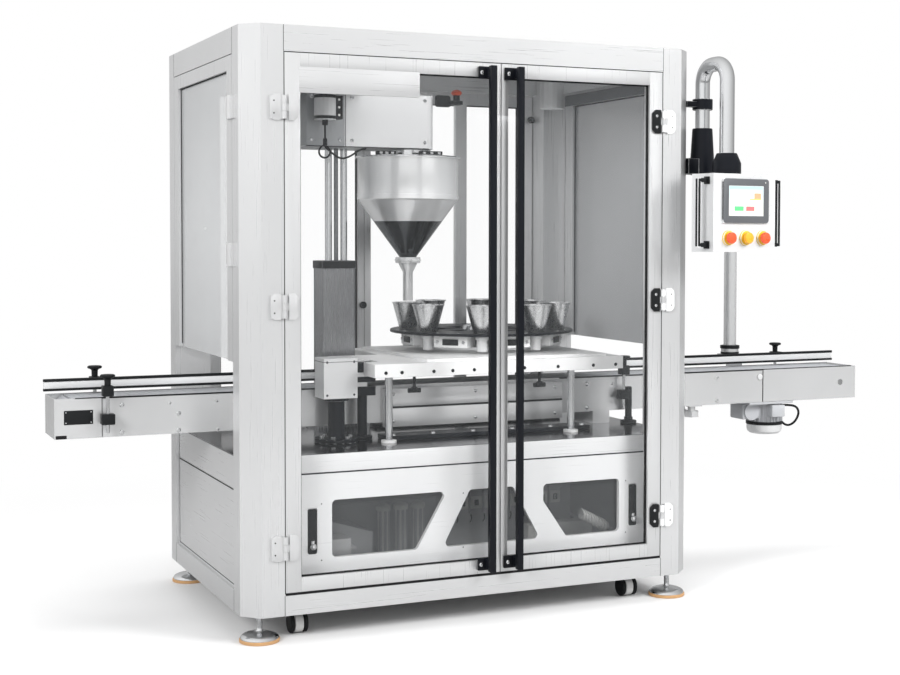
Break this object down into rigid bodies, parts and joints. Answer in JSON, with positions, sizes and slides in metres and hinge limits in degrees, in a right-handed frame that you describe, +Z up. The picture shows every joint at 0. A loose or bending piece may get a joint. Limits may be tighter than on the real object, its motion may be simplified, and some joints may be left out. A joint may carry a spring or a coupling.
{
  "type": "auger powder filler",
  "caption": "Glazed auger powder filling machine with a lifting auger hopper, funnel turret, chain conveyor and swivelling touch panel.",
  "frame": {"origin": "on the floor, below the middle of the whole object's bounding box", "axes": "+X along the conveyor in its running direction (to the right in the picture), -Y towards the front doors, +Z up"},
  "size_m": [3.132, 1.2519, 1.905],
  "materials": {
    "brushed_steel": "fine brushed stainless steel",
    "polished_steel": "polished stainless steel",
    "machined_aluminium": "fine machined aluminium",
    "black_plastic": "matte black",
    "black_paint": "satin black",
    "clear_glass": "clear toughened glass",
    "smoked_pane": "smoked pane",
    "grey_motor_paint": "grey enamel",
    "black_rubber": "black rubber",
    "red_button": "gloss orange-red",
    "yellow_button": "gloss amber",
    "grey_chain_plastic": "moulded grey",
    "electrical_parts": "light grey"
  },
  "bodies": {
    "machine": {"post_front_left": "brushed_steel", "post_front_right": "brushed_steel", "post_rear_left": "brushed_steel", "post_rear_right": "brushed_steel", "top_frame": "brushed_steel", "base_frame": "brushed_steel", "table_top": "polished_steel", "side_panel_left": "brushed_steel", "side_panel_right": "brushed_steel", "rear_panel": "brushed_steel", "foot_front_left": "polished_steel", "foot_front_right": "polished_steel", "foot_rear_left": "polished_steel", "foot_rear_right": "polished_steel", "cabinet_cover": "brushed_steel", "cabinet_window": "smoked_pane", "control_rack": "electrical_parts", "conveyor_body": "brushed_steel", "conveyor_chain": "grey_chain_plastic", "guide_rail": "brushed_steel", "front_clamp_left": "black_plastic", "front_clamp_right": "black_plastic", "conveyor_motor": "grey_motor_paint", "lift_column": "brushed_steel", "turret_bed": "machined_aluminium", "infeed_drive": "brushed_steel"},
    "front_door_left": {"front_door_left": "brushed_steel", "front_door_left_glass": "clear_glass", "front_door_left_pull": "black_paint"},
    "front_door_right": {"front_door_right": "brushed_steel", "front_door_right_glass": "clear_glass", "front_door_right_pull": "black_paint"},
    "side_door_left": {"side_door_left": "brushed_steel", "side_door_left_glass": "clear_glass"},
    "side_door_right": {"side_door_right": "brushed_steel", "side_door_right_glass": "clear_glass"},
    "rear_door_left": {"rear_door_left": "brushed_steel", "rear_door_left_glass": "clear_glass"},
    "rear_door_right": {"rear_door_right": "brushed_steel", "rear_door_right_glass": "clear_glass"},
    "lift_carriage": {"filler_head": "machined_aluminium", "hopper": "polished_steel", "hopper_lid": "polished_steel"},
    "auger": {"auger": "polished_steel"},
    "agitator": {"agitator": "polished_steel"},
    "turret": {"funnel_turret": "polished_steel"},
    "panel_arm": {"panel_arm": "polished_steel"},
    "control_panel": {"panel_box": "brushed_steel"},
    "button_left": {"button_left": "red_button"},
    "button_middle": {"button_middle": "yellow_button"},
    "button_right": {"button_right": "red_button"},
    "drive_sprocket": {"drive_sprocket": "polished_steel"},
    "caster_swivel_front_left": {"caster_fork_front_left": "black_paint"},
    "caster_wheel_front_left": {"caster_wheel_front_left": "black_rubber"},
    "caster_swivel_front_right": {"caster_fork_front_right": "black_paint"},
    "caster_wheel_front_right": {"caster_wheel_front_right": "black_rubber"},
    "caster_swivel_rear_left": {"caster_fork_rear_left": "black_paint"},
    "caster_wheel_rear_left": {"caster_wheel_rear_left": "black_rubber"},
    "caster_swivel_rear_right": {"caster_fork_rear_right": "black_paint"},
    "caster_wheel_rear_right": {"caster_wheel_rear_right": "black_rubber"}
  },
  "joints": [
    {"name": "front_door_left_hinge", "type": "hinge", "parent": "machine", "child": "front_door_left", "pos_m": [-0.929, -0.4386, 0.156], "axis": [0, 0, 1], "range_deg": [-110, 0]},
    {"name": "front_door_right_hinge", "type": "hinge", "parent": "machine", "child": "front_door_right", "pos_m": [0.417, -0.4386, 0.156], "axis": [0, 0, 1], "range_deg": [0, 95]},
    {"name": "side_door_left_hinge", "type": "hinge", "parent": "machine", "child": "side_door_left", "pos_m": [-1.0643, -0.3033, 0.868], "axis": [0, 0, 1], "range_deg": [0, 95]},
    {"name": "side_door_right_hinge", "type": "hinge", "parent": "machine", "child": "side_door_right", "pos_m": [0.5523, 0.4827, 0.868], "axis": [0, 0, 1], "range_deg": [0, 50]},
    {"name": "rear_door_left_hinge", "type": "hinge", "parent": "machine", "child": "rear_door_left", "pos_m": [-0.929, 0.618, 0.574], "axis": [0, 0, 1], "range_deg": [0, 110]},
    {"name": "rear_door_right_hinge", "type": "hinge", "parent": "machine", "child": "rear_door_right", "pos_m": [0.417, 0.618, 0.574], "axis": [0, 0, 1], "range_deg": [-110, 0]},
    {"name": "caster_swivel_front_left", "type": "hinge", "parent": "machine", "child": "caster_swivel_front_left", "pos_m": [-0.856, -0.3403, 0.0767], "axis": [0, 0, 1], "continuous": true},
    {"name": "caster_roll_front_left", "type": "hinge", "parent": "caster_swivel_front_left", "child": "caster_wheel_front_left", "pos_m": [-0.856, -0.3203, 0.034], "axis": [1, 0, 0], "continuous": true},
    {"name": "caster_swivel_front_right", "type": "hinge", "parent": "machine", "child": "caster_swivel_front_right", "pos_m": [0.344, -0.3403, 0.0767], "axis": [0, 0, 1], "continuous": true},
    {"name": "caster_roll_front_right", "type": "hinge", "parent": "caster_swivel_front_right", "child": "caster_wheel_front_right", "pos_m": [0.344, -0.3203, 0.034], "axis": [1, 0, 0], "continuous": true},
    {"name": "caster_swivel_rear_left", "type": "hinge", "parent": "machine", "child": "caster_swivel_rear_left", "pos_m": [-0.856, 0.5197, 0.0767], "axis": [0, 0, 1], "continuous": true},
    {"name": "caster_roll_rear_left", "type": "hinge", "parent": "caster_swivel_rear_left", "child": "caster_wheel_rear_left", "pos_m": [-0.856, 0.5397, 0.034], "axis": [1, 0, 0], "continuous": true},
    {"name": "caster_swivel_rear_right", "type": "hinge", "parent": "machine", "child": "caster_swivel_rear_right", "pos_m": [0.344, 0.5197, 0.0767], "axis": [0, 0, 1], "continuous": true},
    {"name": "caster_roll_rear_right", "type": "hinge", "parent": "caster_swivel_rear_right", "child": "caster_wheel_rear_right", "pos_m": [0.344, 0.5397, 0.034], "axis": [1, 0, 0], "continuous": true},
    {"name": "head_lift", "type": "slide", "parent": "machine", "child": "lift_carriage", "axis": [0, 0, 1], "range_m": [0, 0.09]},
    {"name": "auger_spin", "type": "hinge", "parent": "lift_carriage", "child": "auger", "pos_m": [-0.226, 0.3197, 1.025], "axis": [0, 0, 1], "continuous": true},
    {"name": "agitator_spin", "type": "hinge", "parent": "lift_carriage", "child": "agitator", "pos_m": [-0.226, 0.3197, 1.3], "axis": [0, 0, 1], "continuous": true},
    {"name": "turret_spin", "type": "hinge", "parent": "machine", "child": "turret", "pos_m": [0.024, 0.2097, 0.8533], "axis": [0, 0, 1], "continuous": true},
    {"name": "arm_swivel", "type": "hinge", "parent": "machine", "child": "panel_arm", "pos_m": [0.616, -0.3673, 1.478], "axis": [0, 0, 1], "range_deg": [0, 100]},
    {"name": "panel_swivel", "type": "hinge", "parent": "panel_arm", "child": "control_panel", "pos_m": [0.616, -0.5223, 1.474], "axis": [0, 0, 1], "range_deg": [-20, 70]},
    {"name": "button_left_press", "type": "slide", "parent": "control_panel", "child": "button_left", "axis": [-0.1392, 0.9903, 0], "range_m": [0, 0.005], "stiffness_N_per_m": 400},
    {"name": "button_middle_press", "type": "slide", "parent": "control_panel", "child": "button_middle", "axis": [-0.1392, 0.9903, 0], "range_m": [0, 0.005], "stiffness_N_per_m": 400},
    {"name": "button_right_press", "type": "slide", "parent": "control_panel", "child": "button_right", "axis": [-0.1392, 0.9903, 0], "range_m": [0, 0.005], "stiffness_N_per_m": 400},
    {"name": "sprocket_spin", "type": "hinge", "parent": "machine", "child": "drive_sprocket", "pos_m": [1.489, 0.0672, 0.681], "axis": [0, 1, 0], "continuous": true}
  ]
}
